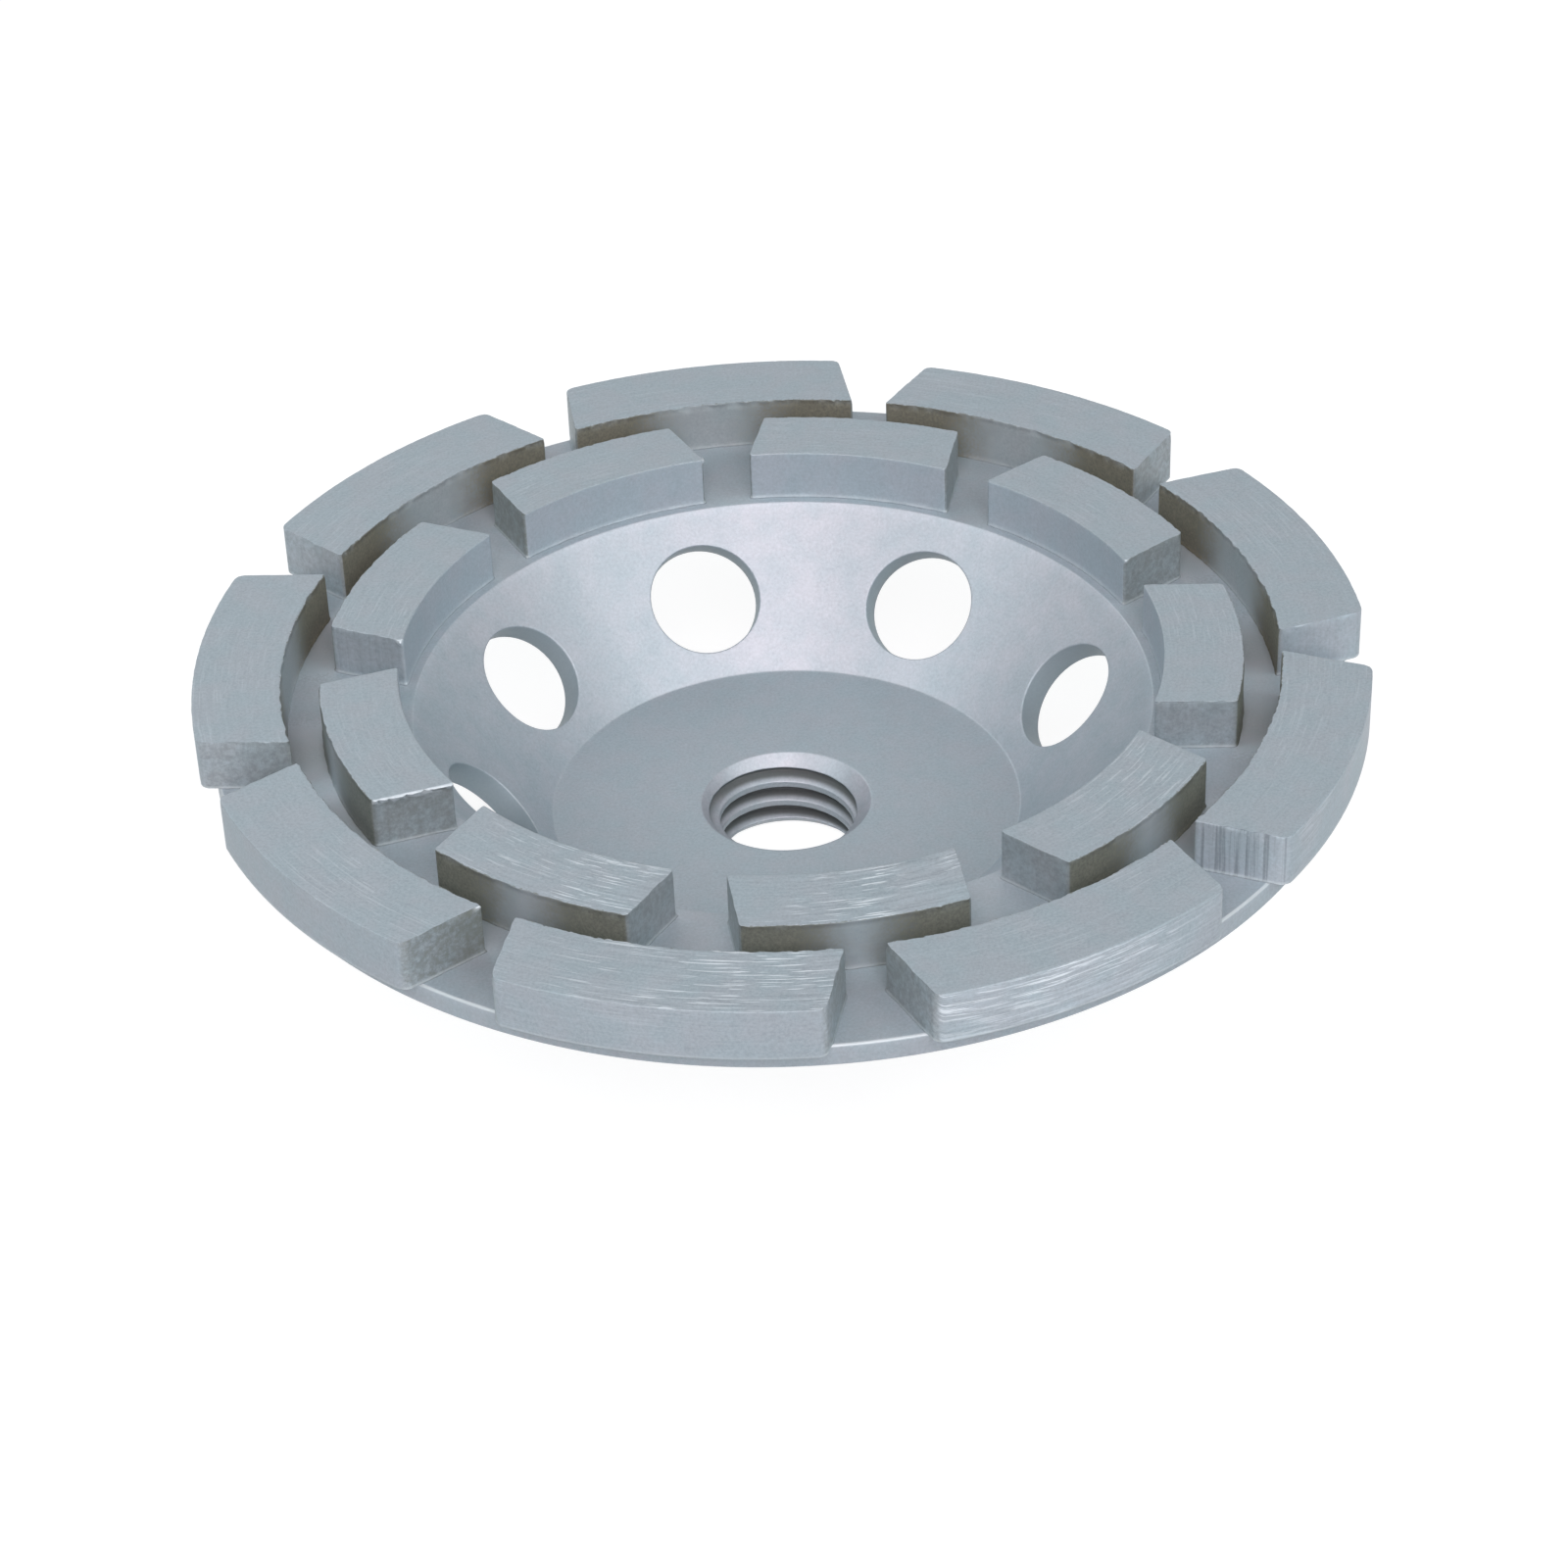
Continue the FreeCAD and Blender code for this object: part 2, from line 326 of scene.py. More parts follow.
outer_inside = WHEEL_RADIUS - OUTER_WIDTH
inner_outside = outer_inside - ROW_GAP
inner_inside = inner_outside - INNER_WIDTH
mouth_radius = inner_inside - MOUTH_LEDGE
slope = math.atan2(FLANGE_TOP - HUB_HEIGHT, mouth_radius - HUB_FLOOR_RADIUS)
print("rim", round(RIM_RADIUS / MM, 2), "mouth", round(mouth_radius / MM, 2))
print("slope of the wall", round(math.degrees(slope), 1))

# %% [markdown]
# ## The turned cup
#
# The real cup is turned on a lathe and its vents are then drilled square to the sloping wall. A
# lathe's section is a ring of corners, each with its own small rounding. Sharp modelled corners never
# catch the light, and a real tool or a coat of paint always leaves a little roundness that does.
#
# The vents repeat eight times, so only one eighth of the cup is meshed: plain strips of the
# section, and two wall patches whose grid runs from the round edge of the vent out to the patch's
# border. A Boolean would also cut the holes, but it leaves long thin faces round them, and their rims
# could not be rounded cleanly.

# %% Section of the cup
VENT_COUNT = 8
EIGHTH = math.tau / VENT_COUNT
COLUMNS = 30
ARC_STEPS = 5
EDGE_BREAK = 0.3 * MM


def wall_point(along, depth):
    """Radius and height of a point by its way up the inside of the wall and its depth into the wall."""
    radius = HUB_FLOOR_RADIUS + along * math.cos(slope) + depth * math.sin(slope)
    return radius, HUB_HEIGHT + along * math.sin(slope) - depth * math.cos(slope)


def along_wall(radius, depth):
    """Way up the wall of a point, by its radius and its depth in the wall."""
    return (radius - wall_point(0.0, depth)[0]) / math.cos(slope)


shoulder_along = (WALL * math.cos(slope) - FLOOR_THICKNESS) / math.sin(slope)
root_along = (FLANGE_TOP - FLANGE_THICKNESS - HUB_HEIGHT + WALL * math.cos(slope)) / math.sin(slope)

# radius, height and rounding of each corner
SECTION = {
    "front_mouth": (CREST_RADIUS + FRONT_MOUTH, HUB_HEIGHT, 0.0),
    "floor_edge": (HUB_FLOOR_RADIUS, HUB_HEIGHT, 0.35 * MM),
    "cup_mouth": (mouth_radius, FLANGE_TOP, EDGE_BREAK),
    "rim_top": (RIM_RADIUS, FLANGE_TOP, EDGE_BREAK),
    "rim_foot": (RIM_RADIUS, FLANGE_TOP - RIM_BAND, 0.2 * MM),
    "flange_root": (*wall_point(root_along, WALL), 1.2 * MM),
    "shoulder": (*wall_point(shoulder_along, WALL), 2.5 * MM),
    "boss_root": (BOSS_RADIUS, HUB_HEIGHT - FLOOR_THICKNESS, 1.0 * MM),
    "boss_edge": (BOSS_RADIUS, 0.0, EDGE_BREAK),
    "back_mouth": (CREST_RADIUS + BACK_MOUTH, 0.0, 0.0),
}


def soften(before, corner, after, rounding):
    """A corner of the section as the points of its small arc."""
    if not rounding:
        return [corner]
    back, ahead = (before - corner).normalized(), (after - corner).normalized()
    reach = rounding / math.tan(back.angle(ahead) / 2)
    start, end = corner + back * reach, corner + ahead * reach
    steps = [step / ARC_STEPS for step in range(ARC_STEPS + 1)]
    return [start * (1 - t) ** 2 + corner * 2 * t * (1 - t) + end * t**2 for t in steps]


corners = [Vector(place[:2]) for place in SECTION.values()]
arcs = {}
for index, (name, place) in enumerate(SECTION.items()):
    after = corners[(index + 1) % len(corners)]
    arcs[name] = soften(corners[index - 1], corners[index], after, place[2])
print("section points:", sum(len(arc) for arc in arcs.values()))

# %% [markdown]
# A long flat face that shares its edge with a small arc would be shaded as if it bent all the way
# across. Rings of faces that shrink towards both ends of a flat keep that bend where it belongs.

# %% Strips of one eighth
FLAT_RINGS = 8


def graded(count):
    """Shares from 0 to 1 that crowd together at both ends."""
    steps = [step / count for step in range(count + 1)]
    return [t**3 * (10 - 15 * t + 6 * t**2) for t in steps]


def grid(mesh, rows):
    """Joins rows of points with faces."""
    laid = [[mesh.verts.new(point) for point in row] for row in rows]
    for here, there in zip(laid, laid[1:]):
        for corners_of_face in zip(here, here[1:], there[1:], there):
            mesh.faces.new(corners_of_face)


def on_cup(turn, radius, height):
    return Vector((radius * math.cos(turn), radius * math.sin(turn), height))


def strip(mesh, names):
    """Turns the section, from the first named corner's arc to the last one's, through one eighth."""
    path = list(arcs[names[0]])
    for name in names[1:]:
        start, end = path[-1], arcs[name][0]
        path += [start.lerp(end, share) for share in graded(FLAT_RINGS)[1:-1]]
        path += arcs[name]
    turns = [EIGHTH * (column / COLUMNS - 0.5) for column in range(COLUMNS + 1)]
    grid(mesh, [[on_cup(turn, *point) for turn in turns] for point in path])


# %% [markdown]
# A vent is a straight hole of 11.6 mm whose axis stands square on the wall. A point on its side is
# found by walking along the hole until the wall's own depth is right. Rings of such points round the
# hole's edges over.

# %% Vents
VENT_RADIUS = 5.8 * MM
VENT_DROP = 0.5 * MM
VENT_EDGE = 0.14 * MM
EDGE_DEGREES = (0, 30, 60, 90)
PATCH_SIDE = 12
PATCH_RINGS = 8
WALKING_STEPS = 12

vent_along = (mouth_radius - HUB_FLOOR_RADIUS) / math.cos(slope) / 2 - VENT_DROP
vent_radius, vent_height = wall_point(vent_along, 0.0)


def vent_point(reach, angle, depth):
    """A point at some reach from the vent's axis and some depth below the inside of the wall."""
    up, across = reach * math.cos(angle), reach * math.sin(angle)
    walked = depth
    for _ in range(WALKING_STEPS):
        radius = vent_radius + up * math.cos(slope) + walked * math.sin(slope)
        height = vent_height + up * math.sin(slope) - walked * math.cos(slope)
        away = math.hypot(radius, across) - HUB_FLOOR_RADIUS
        walked -= away * math.sin(slope) - (height - HUB_HEIGHT) * math.cos(slope) - depth
    return Vector((radius, across, height))


def border(low, high):
    """The border of a wall patch once round, each point as its turn and its way up the wall."""
    half = EIGHTH / 2
    side = [low + (high - low) * step / PATCH_SIDE for step in range(PATCH_SIDE + 1)]
    level = [half - EIGHTH * column / COLUMNS for column in range(COLUMNS + 1)]
    return (
        [(half, along) for along in side]
        + [(turn, high) for turn in level[1:]]
        + [(-half, along) for along in side[-2::-1]]
        + [(-turn, low) for turn in level[1:]]
    )


def wall_patch(mesh, depth, low, high):
    """One face of the wall, from the vent's edge to the patch's border. Gives the angles of its spokes."""
    spokes = []
    for turn, along in border(low, high):
        angle = math.atan2(turn * wall_point(vent_along, depth)[0], along - vent_along)
        edge = vent_point(VENT_RADIUS + VENT_EDGE, angle, depth)
        start = Vector((math.atan2(edge.y, edge.x), along_wall(math.hypot(edge.x, edge.y), depth)))
        spokes.append((angle, start, Vector((turn, along))))
    rows = []
    for share in graded(PATCH_RINGS):
        places = [start.lerp(end, share) for _, start, end in spokes]
        rows.append([on_cup(turn, *wall_point(along, depth)) for turn, along in places])
    grid(mesh, rows)
    return [angle for angle, _, _ in spokes]


def vent_side(mesh, inside_angles, outside_angles):
    """The side of the vent with a rounded edge at both ends."""
    steps = [math.radians(step) for step in EDGE_DEGREES]
    arc = [(VENT_EDGE * (1 - math.sin(step)), VENT_EDGE * (1 - math.cos(step))) for step in steps]
    rows = []
    for wider, deeper in arc:
        rows.append([vent_point(VENT_RADIUS + wider, angle, deeper) for angle in inside_angles])
    for wider, deeper in reversed(arc):
        rows.append([vent_point(VENT_RADIUS + wider, angle, WALL - deeper) for angle in outside_angles])
    grid(mesh, rows)


# %% One eighth of the cup
eighth = bmesh.new()
for names in (
    ("front_mouth", "floor_edge"),
    ("cup_mouth", "rim_top", "rim_foot", "flange_root"),
    ("shoulder", "boss_root", "boss_edge", "back_mouth"),
):
    strip(eighth, names)
inner_ends = [along_wall(arcs[name][end].x, 0.0) for name, end in (("floor_edge", -1), ("cup_mouth", 0))]
outer_ends = [along_wall(arcs[name][end].x, WALL) for name, end in (("shoulder", 0), ("flange_root", -1))]
inside_angles = wall_patch(eighth, 0.0, *inner_ends)
outside_angles = wall_patch(eighth, WALL, *outer_ends)
vent_side(eighth, inside_angles, outside_angles)
eighth_mesh = bpy.data.meshes.new("cup_eighth")
eighth.to_mesh(eighth_mesh)
eighth.free()
print("one eighth:", len(eighth_mesh.polygons), "faces")

# %% [markdown]
# ## Growing meshes with Geometry Nodes
#
# What repeats, and what follows a formula, is grown by a tree. A tree is a recipe with named sizes:
# one recipe makes the whole cup from one eighth, and another makes all eighteen segments, each with
# its own seed. The helper runs a recipe and keeps the result as a plain mesh, because a live modifier
# would not survive an export.

# %% Recipes
FLOAT, WHOLE, MATERIAL = "NodeSocketFloat", "NodeSocketInt", "NodeSocketMaterial"


def recipe(name, sizes):
    """A new Geometry Nodes tree with named inputs. Gives the tree, its desk and the wires of its inputs."""
    tree = bpy.data.node_groups.new(name, "GeometryNodeTree")
    for label, kind in {"Geometry": "NodeSocketGeometry", **sizes, "Material": MATERIAL}.items():
        tree.interface.new_socket(name=label, in_out="INPUT", socket_type=kind)
    tree.interface.new_socket(name="Geometry", in_out="OUTPUT", socket_type="NodeSocketGeometry")
    desk = Desk(tree)
    given = desk.node("NodeGroupInput")
    return tree, desk, {label: given.out(label) for label in ["Geometry", *sizes, "Material"]}


def serve(desk, geometry, given):
    """Ends a recipe: real faces, smooth shading, one material."""
    real = desk.node("GeometryNodeRealizeInstances", {}, {"Geometry": geometry})
    smooth = desk.node("GeometryNodeSetShadeSmooth", {}, {"Geometry": real, "Shade Smooth": True})
    painted = desk.node("GeometryNodeSetMaterial", {}, {"Geometry": smooth, "Material": given["Material"]})
    desk.node("NodeGroupOutput", {}, {"Geometry": painted})


def cook(name, tree, sizes, base=None):
    """Runs a recipe with these sizes and keeps the result as a plain mesh object at the origin."""
    piece = bpy.data.objects.new(name, base or bpy.data.meshes.new(name))
    bpy.context.scene.collection.objects.link(piece)
    modifier = piece.modifiers.new(name, "NODES")
    modifier.node_group = tree
    for item in tree.interface.items_tree:
        if item.in_out == "INPUT" and item.name in sizes:
            modifier[item.identifier] = sizes[item.name]
    view = bpy.context.evaluated_depsgraph_get()
    grown = bpy.data.meshes.new_from_object(piece.evaluated_get(view))
    piece.modifiers.remove(modifier)
    piece.data = grown
    grown.name = name
    return piece


def stored(desk, geometry, name, value):
    """Keeps a number on every point of a geometry, where a material can read it by its name."""
    inputs = {"Geometry": geometry, "Name": name, "Value": value}
    return desk.node("GeometryNodeStoreNamedAttribute", {"data_type": "FLOAT", "domain": "POINT"}, inputs)


# %% [markdown]
# ## The spindle thread
#
# The hub is tapped 5/8 inch with 11 threads to the inch, right-handed. Seen from the axis, the hole's
# side is a height map: its radius depends only on the angle and the height. A thread could be swept
# as a ridge along a spiral, but then it would have to be cut out of the hub. A grid rolled into a
# tube, whose points are pushed out to the thread's radius, closes the hole exactly: where a
# countersink is wider than the thread, the countersink wins.

# %% Recipe of the cup
THREAD_PITCH = 25.4 * MM / 11
THREAD_ROOT_RADIUS = 7.94 * MM
THREAD_CREST = 0.62 * MM
THREAD_PHASE = 0.42
THREAD_FLANK_ANGLE = math.radians(30)
THREAD_ROWS = 110
VENT_START = math.radians(18.9)
SEAM = 0.004 * MM

cup_tree, desk, given = recipe(
    "turned_cup",
    {
        "Vents": WHOLE,
        "Start": FLOAT,
        "Height": FLOAT,
        "Crest radius": FLOAT,
        "Root radius": FLOAT,
        "Pitch": FLOAT,
        "Crest width": FLOAT,
        "Phase": FLOAT,
        "Front mouth": FLOAT,
        "Back mouth": FLOAT,
    },
)

# one eighth at each vent, turned about the spindle
points = desk.node("GeometryNodePoints", {}, {"Count": given["Vents"]})
turn = desk.node("GeometryNodeInputIndex") * math.tau / given["Vents"] + given["Start"]
rotation = desk.node("FunctionNodeEulerToRotation", {}, {0: desk.join(0.0, 0.0, turn)})
turned = desk.node(
    "GeometryNodeInstanceOnPoints",
    {},
    {"Points": points, "Instance": given["Geometry"], "Rotation": rotation},
)
turned = desk.node("GeometryNodeRealizeInstances", {}, {"Geometry": turned})

# the hole's side, a sheet rolled into a tube
sheet = desk.node(
    "GeometryNodeMeshGrid",
    {},
    {"Size X": 1.0, "Size Y": 1.0, "Vertices X": COLUMNS * VENT_COUNT + 1, "Vertices Y": THREAD_ROWS + 1},
)
across, up, _ = desk.split(desk.node("GeometryNodeInputPosition"))
share_of_turn = across + 0.5
height = (up + 0.5) * given["Height"]
turns_along = height / given["Pitch"] - share_of_turn + given["Phase"]
from_crest = desk.math("ABSOLUTE", desk.math("FRACT", turns_along) - 0.5) * given["Pitch"]
groove = (from_crest - given["Crest width"] * 0.5) / math.tan(THREAD_FLANK_ANGLE)
groove = given["Crest radius"] + desk.math("MAXIMUM", groove, 0.0)
thread_radius = desk.math("MINIMUM", groove, given["Root radius"])
front = given["Crest radius"] + given["Front mouth"] - given["Height"] + height
back = given["Crest radius"] + given["Back mouth"] - height
mouth = desk.math("MAXIMUM", desk.math("MAXIMUM", front, back), given["Crest radius"])
radius = desk.math("MAXIMUM", thread_radius, mouth)
angle = share_of_turn * math.tau + given["Start"] - EIGHTH / 2
place = desk.join(radius * desk.math("COSINE", angle), radius * desk.math("SINE", angle), height)
deep = (radius - mouth) / (given["Root radius"] - given["Crest radius"])
bore = stored(desk, sheet, "groove", deep)
bore = desk.node("GeometryNodeSetPosition", {}, {"Geometry": bore, "Position": place})

whole = desk.node("GeometryNodeJoinGeometry")
for part in (turned, bore):
    desk.tree.links.new(part.socket, whole.socket.node.inputs[0])
whole = desk.node("GeometryNodeMergeByDistance", {}, {"Geometry": whole, "Distance": SEAM})
serve(desk, whole, given)
print("cup recipe:", len(cup_tree.nodes), "nodes")

# %% [markdown]
# ## The diamond segments
#
# Each segment is pressed from metal powder and diamond grit, sintered, brazed to the flange and
# ground flat. Its two long faces are arcs about the spindle, its two ends are parallel. So the recipe
# starts from a box whose grid is finer towards its edges, and bends it:
#
# 1. the top edges are rounded by pulling each point towards a slightly smaller box,
# 2. the upright corners are rounded by the rule that turns a square into a disc,
# 3. noise bites the top edges, a burr draws one of them out over an end, and braze swells the foot,
# 4. the width becomes a distance from the spindle, and the whole is turned to its place in the ring.

# %% Recipe of a segment
GRID_ACROSS = 26
GRID_UP = 18
EDGE_CROWDING = 0.8

segment_tree, desk, given = recipe(
    "diamond_segment",
    {
        "Inside radius": FLOAT,
        "Outside radius": FLOAT,
        "Half length": FLOAT,
        "Foot": FLOAT,
        "Top": FLOAT,
        "Corner": FLOAT,
        "Corner lean": FLOAT,
        "Edge": FLOAT,
        "Turn": FLOAT,
        "Seed": FLOAT,
        "Wave": FLOAT,
        "Channel side": FLOAT,
        "Burr ahead": FLOAT,
        "Burr behind": FLOAT,
        "Burr side": FLOAT,
        "Braze": FLOAT,
        "Braze limit": FLOAT,
        "Scratches": FLOAT,
        "Face scratches": FLOAT,
        "Saw marks": FLOAT,
        "Pale end": FLOAT,
        "Columns": WHOLE,
    },
)
box = desk.node(
    "GeometryNodeMeshCube",
    {},
    {
        "Size": (2.0, 2.0, 2.0),
        "Vertices X": GRID_ACROSS,
        "Vertices Y": given["Columns"],
        "Vertices Z": GRID_UP,
    },
)
half_width = (given["Outside radius"] - given["Inside radius"]) * 0.5
height = given["Top"] - given["Foot"]


def crowded(share):
    """Moves grid lines, counted from -1 to 1, towards both ends."""
    return share * (1 + EDGE_CROWDING / 2) - share**3 * (EDGE_CROWDING / 2)


def held(value, limit):
    """A value kept between -limit and limit."""
    return desk.math("MAXIMUM", desk.math("MINIMUM", value, limit), -limit)


# the box's own coordinates run from -1 to 1: inside to outside, behind to ahead, foot to top
side_share, end_share, top_share = desk.split(desk.node("GeometryNodeInputPosition"))
across, along = crowded(side_share) * half_width, crowded(end_share) * given["Half length"]
up = (crowded(top_share) + 1) * 0.5 * height

# %% Top edges and upright corners
core = desk.join(
    held(across, half_width - given["Edge"]),
    held(along, given["Half length"] - given["Edge"]),
    desk.math("MINIMUM", up, height - given["Edge"]),
)
off = desk.vector("NORMALIZE", desk.vector("SUBTRACT", desk.join(across, along, up), core))
across, along, up = desk.split(desk.vector("ADD", core, desk.scaled(off, given["Edge"])))

# a corner lean above 0 makes the upright corners rounder on the outside of the wheel
side_across, side_along = desk.math("SIGN", across), desk.math("SIGN", along)
corner = given["Corner"] * (1 + side_across * given["Corner lean"])
flat_across, flat_along = half_width - corner, given["Half length"] - corner
past_across = desk.math("MAXIMUM", desk.math("ABSOLUTE", across) - flat_across, 0.0) / corner
past_along = desk.math("MAXIMUM", desk.math("ABSOLUTE", along) - flat_along, 0.0) / corner
round_across = past_across * desk.math("SQRT", 1 - past_along**2 * 0.5) * corner
round_along = past_along * desk.math("SQRT", 1 - past_across**2 * 0.5) * corner
across = held(across, flat_across) + side_across * round_across
along = held(along, flat_along) + side_along * round_along

# %% Wear, burrs and braze
SEED_STRIDE = 0.31
SIDE_BITE = 4
END_BITE = 3
BURR_HEIGHT = 0.8 * MM
BURR_REACH = 0.4 * MM
BRAZE_HEIGHT = 0.5 * MM
BRAZE_FADE = 0.3 * MM

# noise scales count the bumps in a metre
WAVE_SCALE = 900.0
CHIP_SCALE = 1500.0

# noise bites the top edges, mostly the one on the channel's side
here = desk.join(across + given["Seed"] * SEED_STRIDE, along, up)
wave = desk.noise(here, WAVE_SCALE, 3.0)
bite = desk.math("MINIMUM", wave - 0.6, 0.0) * given["Wave"]
chips = desk.noise(here, CHIP_SCALE, 2.0).between(0.55, 0.75)
near_side = desk.math("ABSOLUTE", side_share).between(0.8, 1.0)
near_end = desk.math("ABSOLUTE", end_share).between(0.97, 1.0)
near_top = up.between(height - BURR_HEIGHT, height)
bitten = 0.15 + (side_across * given["Channel side"]).between(-0.5, 0.5) * 0.85

# a burr hangs over one end, all along its top edge or only from the corner on its burr side
is_ahead = side_along.between(-0.5, 0.5)
bent = given["Burr ahead"] * is_ahead + given["Burr behind"] * (1 - is_ahead)
one_sided = desk.math("ABSOLUTE", given["Burr side"])
bent = bent * desk.math("MAXIMUM", (side_share * given["Burr side"]).between(0.5, 0.9), 1 - one_sided)
burr = bent * near_end * near_top * desk.noise(here, CHIP_SCALE, 1.0).between(0.3, 0.6)
bright_corner = bent * one_sided * past_across * past_along * (0.12 + near_top * 0.3)

# braze swells the foot, but not past the rim that carries it
middle = (given["Inside radius"] + given["Outside radius"]) * 0.5
foot = (1 - desk.math("MINIMUM", up / BRAZE_HEIGHT, 1.0)) ** 2
carried = (across + middle).between(given["Braze limit"], given["Braze limit"] - BRAZE_FADE)
swell = given["Braze"] * foot * carried * wave * 2

across = across + side_across * near_side * (bite * near_top * bitten * SIDE_BITE + swell)
along = along + side_along * near_end * (bite * near_top * END_BITE + swell + burr)
edge_of_top = desk.math("MAXIMUM", near_side * bitten, near_end) * near_top
up = up - chips * edge_of_top * given["Wave"]

# %% Place in the ring
distance = middle + across
ahead = desk.math("SQRT", distance**2 - along**2)
turn_cos, turn_sin = desk.math("COSINE", given["Turn"]), desk.math("SINE", given["Turn"])
place = desk.join(
    ahead * turn_cos - along * turn_sin,
    ahead * turn_sin + along * turn_cos,
    given["Foot"] + up,
)

# what the material reads from the mesh
marks = {
    "scratches": given["Scratches"] * (0.2 + end_share.between(-0.8, 0.4) * 0.8),
    "face_scratches": given["Face scratches"] * (1 - end_share.between(-0.1, 0.7) * 0.85),
    "saw_marks": given["Saw marks"],
    "pale_end": given["Pale end"],
    "burr": desk.math("MAXIMUM", burr, bright_corner) / BURR_REACH,
}
shape = box
for name, value in marks.items():
    shape = stored(desk, shape, name, value)
shape = desk.node("GeometryNodeSetPosition", {}, {"Geometry": shape, "Position": place})
serve(desk, shape, given)
print("segment recipe:", len(segment_tree.nodes), "nodes")

# %% [markdown]
# ## Finish of the cup
#
# The whole wheel wears one thin coat of silver spray, slightly blue, with a faint cloudiness where the
# coat is thicker. Between the two rings of segments the spray only got in through the slots. So the
# side of an outer segment is silver opposite the inner slot and brown towards both ends, and the side
# of an inner segment is silver opposite the outer slot. The slots of the two rings take turns every
# 20 degrees.

# %% Spray and what it missed
ROW_COUNT = 9
OUTER_START = math.radians(21.3)
SLOT_STEP = math.tau / ROW_COUNT / 2
SILVER_BLUE = (0.355, 0.410, 0.450, 1.0)
SILVER_LILAC = (0.405, 0.410, 0.450, 1.0)
OLIVE_BROWN = (0.138, 0.138, 0.102, 1.0)

# degrees to either side of a slot's middle that its spray reaches, and over which it then fades
INNER_REACH = 4.8
OUTER_REACH = 1.5
SPRAY_FADE = (-2.5, 6.0)
DRIFT_DEGREES = 3
DUST_DEGREES = 6
DRIFT_SCALE = 420.0
GRAIN_SCALE = 3400.0


def surface_places(desk):
    """Where a point of the surface is: its place, distance from the spindle, direction and height."""
    place = desk.node("ShaderNodeTexCoord", {}, {}, "Object")
    x, y, z = desk.split(place)
    distance = desk.math("SQRT", x**2 + y**2)
    return place, distance, desk.vector("NORMALIZE", desk.join(x, y, 0.0)), z


def missed_by_spray(desk, place, distance, z):
    """Three masks: the channel between the rings, and what the inner and the outer slots leave bare in it."""
    x, y, _ = desk.split(place)
    turns = (desk.math("ARCTAN2", y, x) - OUTER_START) / (SLOT_STEP * 2)
    step = math.degrees(SLOT_STEP)
    from_inner_slot = desk.math("ABSOLUTE", desk.math("FRACT", turns + 0.5) - 0.5) * step * 2
    from_outer_slot = step - from_inner_slot
    drift = desk.noise(place, DRIFT_SCALE, 3.0) - 0.5
    dust = desk.noise(place, GRAIN_SCALE, 2.0) - 0.5
    blur = drift * DRIFT_DEGREES + dust * DUST_DEGREES
    by_inner_slot = (from_inner_slot - INNER_REACH + blur).between(*SPRAY_FADE)
    by_outer_slot = (from_outer_slot - OUTER_REACH + blur).between(*SPRAY_FADE)
    channel = distance.between(inner_outside - 0.6 * MM, inner_outside + 0.1 * MM)
    channel = channel * distance.between(outer_inside + 0.6 * MM, outer_inside - 0.1 * MM)
    channel = channel * z.between(FLANGE_TOP - 1 * MM, FLANGE_TOP)
    return channel, by_inner_slot, by_outer_slot


# %% Coats of the cup
CLOUD_SCALE = 300.0
SPECKLE_SCALE = 900.0

cup_paint, desk = new_material("cup_paint")
place, distance, direction, z = surface_places(desk)
x, y, _ = desk.split(place)
cloud = desk.noise(place, CLOUD_SCALE, 4.0, 0.65)
grain = desk.noise(place, GRAIN_SCALE, 2.0, 0.7)
speckle = desk.noise(place, SPECKLE_SCALE, 3.0)
groove = desk.node("ShaderNodeAttribute", {"attribute_name": "groove"}, {}, "Fac").between(0.15, 0.60)

# a painted highlight runs along the top edge of the rim
near_rim = distance.between(RIM_RADIUS - 0.32 * MM, RIM_RADIUS - 0.2 * MM)
rim_highlight = near_rim * z.between(FLANGE_TOP - 0.25 * MM, FLANGE_TOP - 0.1 * MM)

# dust reaches the channel's floor, but hardly the foot of its walls
channel, by_inner_slot, by_outer_slot = missed_by_spray(desk, place, distance, z)
bare = desk.math("MINIMUM", by_inner_slot, by_outer_slot) ** 2
from_middle = desk.math("ABSOLUTE", distance - (inner_outside + outer_inside) / 2) / (ROW_GAP / 2)
missed = channel * (0.05 + bare * (0.20 + from_middle.between(0.6, 1.0) * 0.2))

# painted light: the flange is lightened, and the channel more, most of all at both sides of the wheel away
# from the inner slots, against the shade of the segments
on_flange = z.between(FLANGE_TOP - 1 * MM, FLANGE_TOP)
lit_at_the_sides = desk.math("ABSOLUTE", x).between(15 * MM, 45 * MM) * by_inner_slot.between(0.0, 0.4)

# the inside of the sloping wall takes the thickest coat; the sides of its vents are darkened and greener, a
# painted shade
normal = desk.node("ShaderNodeNewGeometry", {}, {}, "Normal")
_, _, facing_up = desk.split(normal)
facing_out = desk.vector("DOT_PRODUCT", normal, direction, out="Value")
square_to_wall = facing_up * math.cos(slope) - facing_out * math.sin(slope)
thick_coat = square_to_wall.between(0.85, 0.99)
in_vent = desk.math("ABSOLUTE", square_to_wall).between(0.5, 0.2)
in_vent = in_vent * distance.between(HUB_FLOOR_RADIUS, HUB_FLOOR_RADIUS + 1 * MM)

# a painted reflection of the warm front lamp: the far wall and the chamfer of the spindle hole are tinted
# lilac and a little darker
on_chamfer = distance.between(HUB_FLOOR_RADIUS, HUB_FLOOR_RADIUS - 5 * MM)
lilac_reflection = thick_coat * desk.math("MAXIMUM", y.between(0.0, 25 * MM), on_chamfer)

# %% Cup paint
VENT_SHADE = (0.227, 0.285, 0.314, 1.0)
GROOVE_DARK = (0.045, 0.050, 0.045, 1.0)

